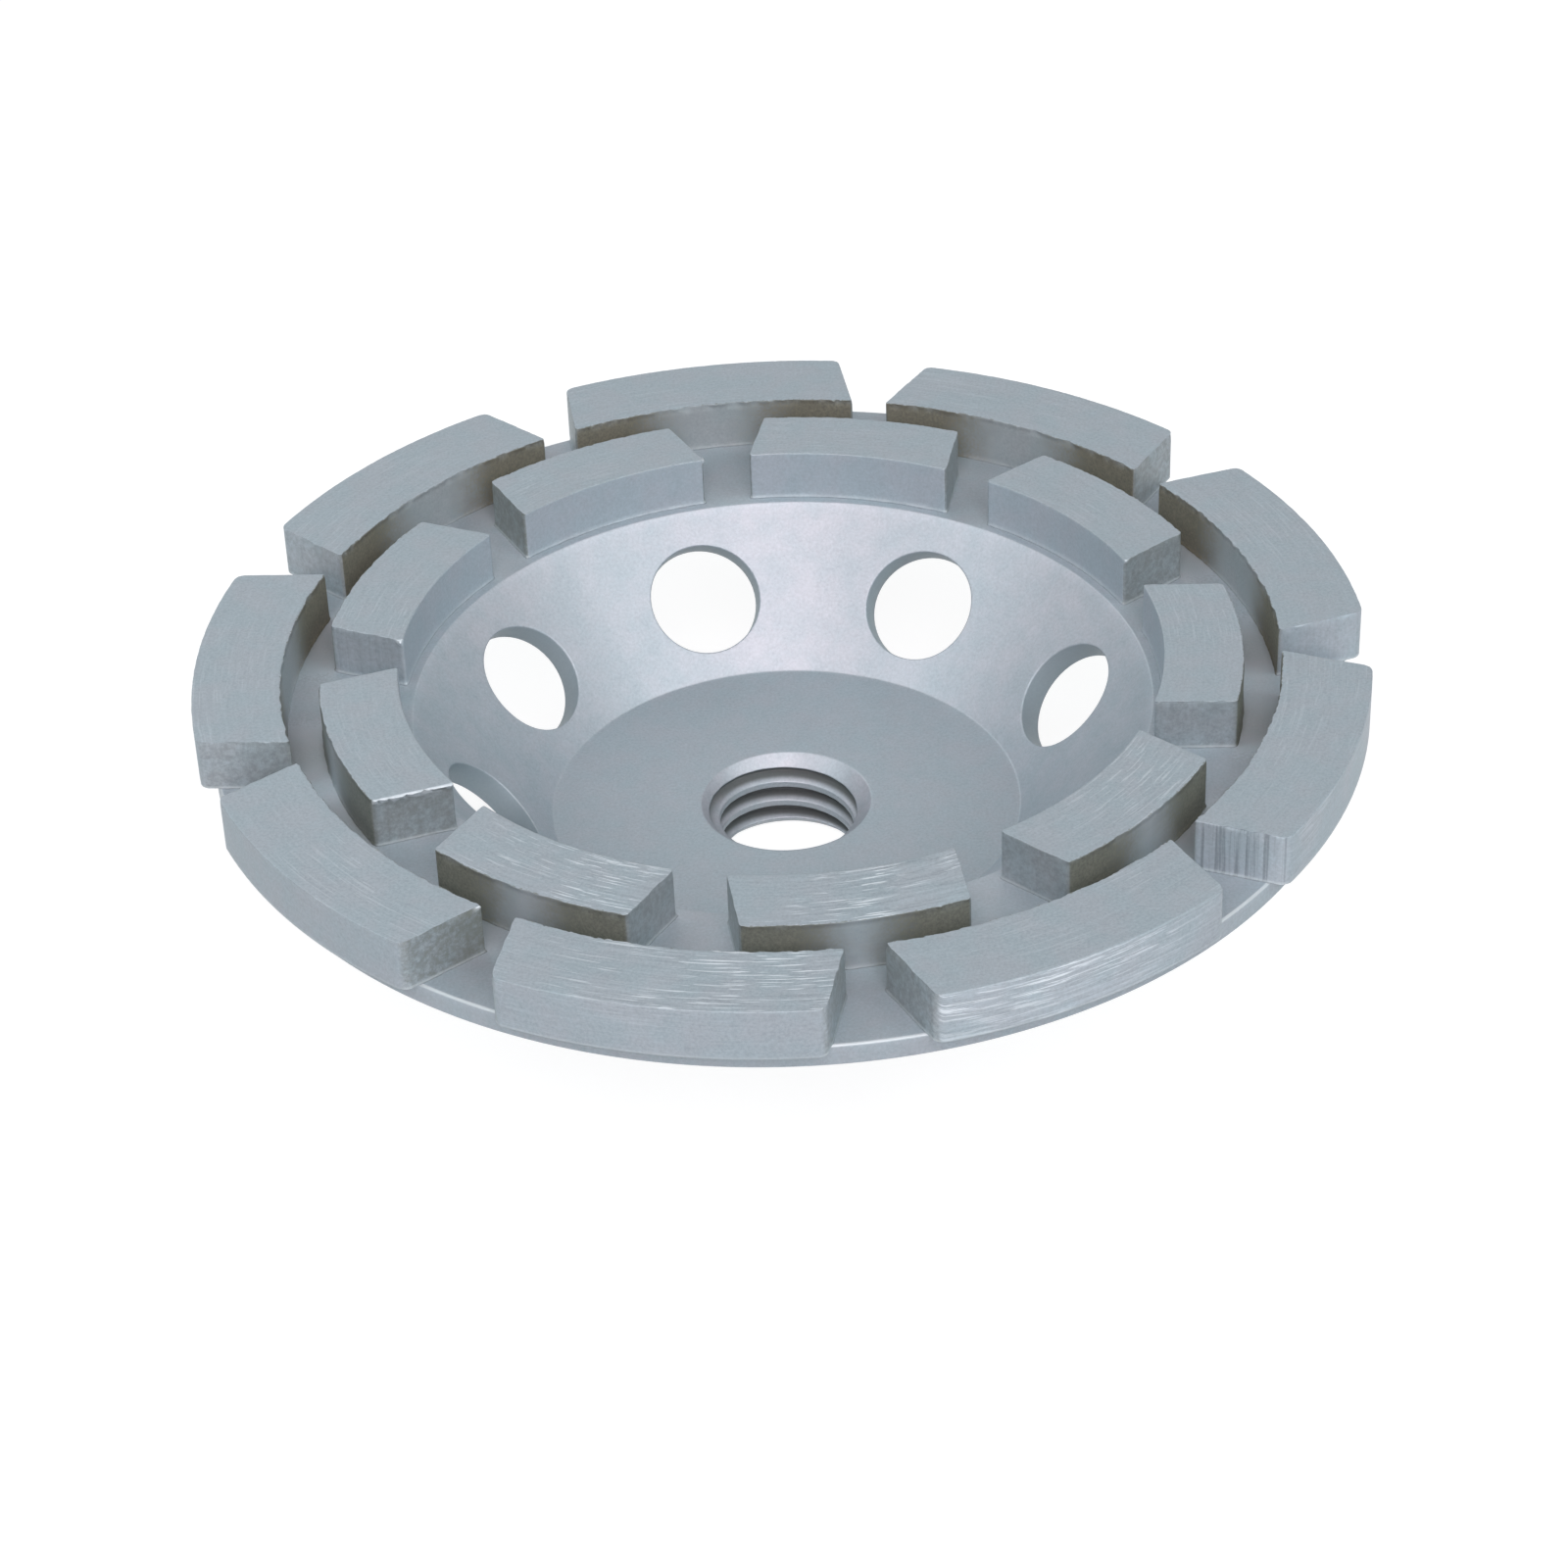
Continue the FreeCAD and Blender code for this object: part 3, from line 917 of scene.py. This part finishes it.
colour = desk.blend(cloud.between(0.3, 0.7) * 0.5 + lilac_reflection * 0.55, SILVER_BLUE, SILVER_LILAC)
strength = 0.67 + grain * 0.40 + speckle * 0.12 + thick_coat * (cloud * 0.2 - 0.035) - lilac_reflection * 0.045
strength = strength + on_flange * 0.07 + channel * (0.03 + lit_at_the_sides * 0.16)
colour = desk.scaled(colour, strength)
# painted shade on the sides of the vents
colour = desk.blend(in_vent * 0.7, colour, VENT_SHADE)
colour = desk.blend(missed, colour, OLIVE_BROWN)
# the deep part of the thread is painted dark: bare metal the spray missed, and painted shade in the groove
colour = desk.blend(groove * 0.85, colour, GROOVE_DARK)
colour = desk.blend(rim_highlight * 0.35, colour, WHITE)
relief = grain * 0.6 + speckle * 0.4
bump = desk.node("ShaderNodeBump", {}, {"Strength": 0.35, "Distance": 0.03 * MM, "Height": relief})
surface = desk.node(
    "ShaderNodeBsdfPrincipled",
    {},
    {
        "Base Color": colour,
        "Metallic": (0.28 + thick_coat * 0.2) * (1 - missed) * (1 - groove),
        "Roughness": 0.50 + (speckle - 0.5) * 0.16 + missed * 0.2,
        "Normal": bump,
    },
)
desk.node("ShaderNodeOutputMaterial", {}, {"Surface": surface})
print("cup paint:", len(desk.tree.nodes), "nodes")

# %% [markdown]
# ## Finish of the segments
#
# The ground tops and the outer faces carry long scratches that run round the wheel, because that is how
# it was dressed on a grinder. Noise stretched along the direction of the cut looks like that: its third
# coordinate counts fast across the scratches, the other two only creep. The ends are sawn, so their
# marks run straight up and down.

# %% Faces of a segment
segment_metal, desk = new_material("segment_metal")
place, distance, direction, z = surface_places(desk)
x, y, _ = desk.split(place)
normal = desk.node("ShaderNodeNewGeometry", {}, {}, "Normal")
_, _, facing_up = desk.split(normal)
facing_out = desk.vector("DOT_PRODUCT", normal, direction, out="Value")
top = facing_up.between(0.6, 0.9)
outward = facing_out.between(0.7, 0.95)
inward = facing_out.between(-0.7, -0.95)
end = (1 - top) * (1 - outward) * (1 - inward)
scratches, face_scratches, saw_marks, pale_end, burr = (
    desk.node("ShaderNodeAttribute", {"attribute_name": name}, {}, "Fac") for name in marks
)

# %% Scratches and saw marks
STROKE_COUNT = 9.0
STROKE_FINENESS = 3000.0
DASH_COUNT = 10.0
DASH_FINENESS = 4600.0
GOUGE_COUNT = 13.0
GOUGE_FINENESS = 5800.0
SAW_FINENESS = 3000.0
SAW_CREEP = 60.0
WANDER_SCALE = 130.0
CROWD_SCALE = 110.0
SMUDGE_SCALE = 260.0
PORE_SCALE = 1500.0


def strokes(level, count, fineness, detail):
    """Noise drawn out round the wheel: count sets how short the strokes are, fineness how thin."""
    round_x, round_y, _ = desk.split(desk.scaled(direction, count))
    return desk.noise(desk.join(round_x, round_y, level * fineness), 1.0, detail, 0.6)


level = distance + z
wander = desk.noise(place, WANDER_SCALE, 2.0) * 0.6 * MM
cut_lines = strokes(level, STROKE_COUNT, STROKE_FINENESS, 3.0)
dashes = strokes(level, DASH_COUNT, DASH_FINENESS, 2.0)
gouges = strokes(level + wander, GOUGE_COUNT, GOUGE_FINENESS, 3.0)
saw_lines = desk.noise(desk.join(x * SAW_FINENESS, y * SAW_FINENESS, z * SAW_CREEP), 1.0, 3.0)
crowd = desk.noise(place, CROWD_SCALE, 1.0).between(0.35, 0.55)
grain = desk.noise(place, GRAIN_SCALE, 2.0, 0.7)
speckle = desk.noise(place, SPECKLE_SCALE, 4.0, 0.6)
smudge = desk.noise(place, SMUDGE_SCALE, 3.0)
pores = desk.noise(place, PORE_SCALE, 4.0, 0.7).between(0.3, 0.7)

# %% [markdown]
# The sides in the channel stay brown where no slot let the spray in, though a little of it got further
# on the wheel's left. Above them, a dark ragged line follows the edge of the ground top. The sawn ends
# took a thin coat that lets the pores of the metal show, thinner the nearer they are to the hub.

# %% What the spray missed on a segment
SPRAYED_SIDE = math.radians(195)
RAGGED_SCALE = 2600.0

channel, by_inner_slot, by_outer_slot = missed_by_spray(desk, place, distance, z)
on_outer_ring = distance.between(inner_outside, outer_inside)
bare = by_outer_slot + (by_inner_slot - by_outer_slot) * on_outer_ring
left = (math.cos(SPRAYED_SIDE), math.sin(SPRAYED_SIDE), 0.0)
reached = desk.vector("DOT_PRODUCT", direction, left, out="Value").between(0.90, 0.98)
bare = bare * (1 - reached * 0.25)
least_bare = 0.16 + on_outer_ring * 0.18
missed = channel * (least_bare + bare * (0.98 - least_bare)) * (1 - top) * (1 - end * 0.6)
shaded_lip = channel * (1 - top) * z.between(SEGMENT_TOP - 0.7 * MM, SEGMENT_TOP - 0.15 * MM)
raggedness = (desk.noise(place, RAGGED_SCALE, 2.0) - 0.5) * 1.2
ragged_line = (channel + raggedness).between(0.75, 0.95) * top
deep_end = distance.between(WHEEL_RADIUS, outer_inside) * 0.22
thin_end = end * (smudge.between(0.3, 0.7) * 0.12 + pores * 0.34 + deep_end) * (1 - pale_end)

# %% Painted glints, bright burrs and braze
# painted glints: bright dashes on the scratched tops and outer faces stand for the light the scratches catch;
# the burrs are brightened as worn metal
glint_on_top = dashes.between(0.58, 0.62) * crowd * scratches * top
high_up = z.between(FLANGE_TOP + 1.0 * MM, SEGMENT_TOP - 1.0 * MM)
glint_outside = gouges.between(0.52, 0.60) * (0.3 + crowd * 0.6) * (0.35 + high_up * 0.65)
glint = glint_on_top + glint_outside * face_scratches * outward
glint_and_wear = desk.math("MAXIMUM", glint, burr.between(0.05, 0.4) * 0.6)
braze_line = z.between(FLANGE_TOP + 0.35 * MM, FLANGE_TOP + 0.15 * MM) * (1 - missed)

# %% Segment metal
END_GREY = (0.225, 0.240, 0.222, 1.0)
UMBER = (0.146, 0.126, 0.078, 1.0)
BRAZE_PALE = (0.560, 0.600, 0.620, 1.0)
GLINT_AND_WEAR_BRIGHT = (0.780, 0.820, 0.860, 1.0)

marked = scratches * top + face_scratches * outward
ruled = (cut_lines - 0.5) * (0.12 + marked * 0.6) * (top + outward) + face_scratches * outward * 0.11
# painted light: the inward faces and the sides in the channel are lightened against their shade
strength = 0.62 + grain * 0.44 + speckle * 0.14 + ruled + inward * 0.18 + channel * (1 - top) * 0.12
strength = strength + end * ((0.5 - pores) * (1 - saw_marks) * (1 - pale_end * 0.5) * 0.28 + pale_end * 0.1)

colour = desk.blend(smudge.between(0.35, 0.65) * 0.4, SILVER_BLUE, SILVER_LILAC)
colour = desk.scaled(colour, strength)
colour = desk.blend(thin_end, colour, END_GREY)
colour = desk.scaled(colour, 1 + (saw_lines.between(0.35, 0.55) - 0.8) * 0.36 * end * saw_marks)
colour = desk.blend(ragged_line * 0.7, colour, OLIVE_BROWN)
earth = desk.scaled(desk.blend(on_outer_ring, OLIVE_BROWN, UMBER), 0.2 + grain * 1.3 + speckle * 0.3)
colour = desk.blend(missed * 0.95, colour, earth)
colour = desk.scaled(colour, 1 - shaded_lip * 0.3)
colour = desk.blend(braze_line * (0.25 + end * 0.2), colour, BRAZE_PALE)
colour = desk.blend(glint_and_wear, colour, GLINT_AND_WEAR_BRIGHT)
relief = grain * 0.6 + speckle * 0.3 + cut_lines * (0.15 + marked) * (top + outward)
relief = relief + gouges * face_scratches * outward * 0.2 + saw_lines * end * (0.15 + saw_marks * 0.7)
bump = desk.node("ShaderNodeBump", {}, {"Strength": 0.5, "Distance": 0.04 * MM, "Height": relief})
surface = desk.node(
    "ShaderNodeBsdfPrincipled",
    {},
    {
        "Base Color": colour,
        "Metallic": 0.28 * (1 - missed),
        "Roughness": 0.52 + (speckle - 0.5) * 0.15 + missed * 0.2 - glint * 0.15,
        "Normal": bump,
    },
)
desk.node("ShaderNodeOutputMaterial", {}, {"Surface": surface})
print("segment metal:", len(desk.tree.nodes), "nodes")

# %% [markdown]
# ## Making the pieces
#
# The cup is one piece. Its faces came from strips that were laid in both directions, so once the seams
# are merged into a closed shell, the normals are made to point outwards in one go.

# %% The cup
cup = cook(
    "turned_cup",
    cup_tree,
    {
        "Vents": VENT_COUNT,
        "Start": VENT_START,
        "Height": HUB_HEIGHT,
        "Crest radius": CREST_RADIUS,
        "Root radius": THREAD_ROOT_RADIUS,
        "Pitch": THREAD_PITCH,
        "Crest width": THREAD_CREST,
        "Phase": THREAD_PHASE,
        "Front mouth": FRONT_MOUTH,
        "Back mouth": BACK_MOUTH,
        "Material": cup_paint,
    },
    eighth_mesh,
)
shell = bmesh.new()
shell.from_mesh(cup.data)
bmesh.ops.recalc_face_normals(shell, faces=shell.faces)
open_edges = sum(1 for edge in shell.edges if len(edge.link_faces) != 2)
shell.to_mesh(cup.data)
shell.free()
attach(cup, "root")
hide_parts("cup_body")
print("cup:", len(cup.data.polygons), "faces,", open_edges, "open edges")

# %% [markdown]
# The photograph shows each segment worn in its own way. Each kind of wear is a share of its full
# strength. A burr side of -1 puts the burr at the corner towards the hub, and a pale end below 0 is a
# darker one.

# %% Wear of each segment
TOP_EDGE = 0.07 * MM
BRAZE_SWELL = 0.12 * MM
OUTER_SLOT = 3.48 * MM
INNER_SLOT = 4.75 * MM
PLAIN_WEAR = {
    "Burr ahead": 0.0,
    "Burr behind": 0.0,
    "Burr side": 0.0,
    "Scratches": 0.1,
    "Face scratches": 0.0,
    "Saw marks": 0.1,
    "Pale end": 0.0,
}
WEAR = {
    "outer_segment_1": {"Burr behind": 0.3, "Burr side": -1.0, "Saw marks": 0.15, "Pale end": 1.0},
    "outer_segment_4": {"Pale end": 0.5},
    "outer_segment_5": {"Pale end": 0.3},
    "outer_segment_6": {"Burr ahead": 0.6, "Burr side": -1.0, "Scratches": 0.15, "Pale end": -0.6},
    "outer_segment_7": {"Scratches": 0.75, "Face scratches": 0.15},
    "outer_segment_8": {"Scratches": 0.15, "Face scratches": 1.0},
    "outer_segment_9": {"Face scratches": 0.2, "Saw marks": 1.0, "Pale end": 1.0},
    "inner_segment_1": {"Burr behind": 0.4, "Burr side": -1.0},
    "inner_segment_3": {"Burr behind": 0.8, "Burr side": -1.0, "Pale end": -0.5},
    "inner_segment_4": {"Burr ahead": 1.5, "Burr side": -1.0, "Saw marks": 0.25, "Pale end": 0.8},
    "inner_segment_5": {"Burr ahead": 1.0},
    "inner_segment_6": {"Scratches": 0.6, "Pale end": 0.4},
    "inner_segment_7": {"Scratches": 1.0},
    "inner_segment_8": {"Scratches": 0.25, "Pale end": 0.5},
    "inner_segment_9": {"Pale end": 0.6},
}


def half_length(inside, slot):
    """Half the length of a segment, from the slot left between the inside corners of two neighbours."""
    return inside * math.sin(math.pi / ROW_COUNT - math.asin(slot / 2 / inside))


ROWS = {
    "outer": {
        "Inside radius": outer_inside,
        "Outside radius": WHEEL_RADIUS,
        "Half length": half_length(outer_inside, OUTER_SLOT),
        "Corner": 0.6 * MM,
        "Corner lean": 0.4,
        "Channel side": -1.0,
        "Wave": 0.2 * MM,
        "Columns": 140,
    },
    "inner": {
        "Inside radius": inner_inside,
        "Outside radius": inner_outside,
        "Half length": half_length(inner_inside, INNER_SLOT),
        "Corner": 0.4 * MM,
        "Corner lean": 0.0,
        "Channel side": 1.0,
        "Wave": 0.13 * MM,
        "Columns": 104,
    },
}
STARTS = {"outer": OUTER_START, "inner": OUTER_START + SLOT_STEP}
FIRST_SEEDS = {"outer": 1, "inner": 21}

# %% The two rings
for row, row_sizes in ROWS.items():
    for place_in_row in range(ROW_COUNT):
        node = f"{row}_segment_{place_in_row + 1}"
        wear = {**PLAIN_WEAR, **WEAR.get(node, {})}
        for burr_end in ("Burr ahead", "Burr behind"):
            wear[burr_end] *= BURR_REACH
        sizes = {
            **row_sizes,
            **wear,
            "Foot": FLANGE_TOP,
            "Top": SEGMENT_TOP,
            "Edge": TOP_EDGE,
            "Turn": STARTS[row] + place_in_row * math.tau / ROW_COUNT,
            "Seed": float(FIRST_SEEDS[row] + place_in_row),
            "Braze": BRAZE_SWELL,
            "Braze limit": RIM_RADIUS,
            "Material": segment_metal,
        }
        segment = cook(f"{row}_diamond_{place_in_row + 1}", segment_tree, sizes)
        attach(segment, "root")
        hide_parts(node)
    print(row, "ring:", ROW_COUNT, "segments of", len(segment.data.polygons), "faces")
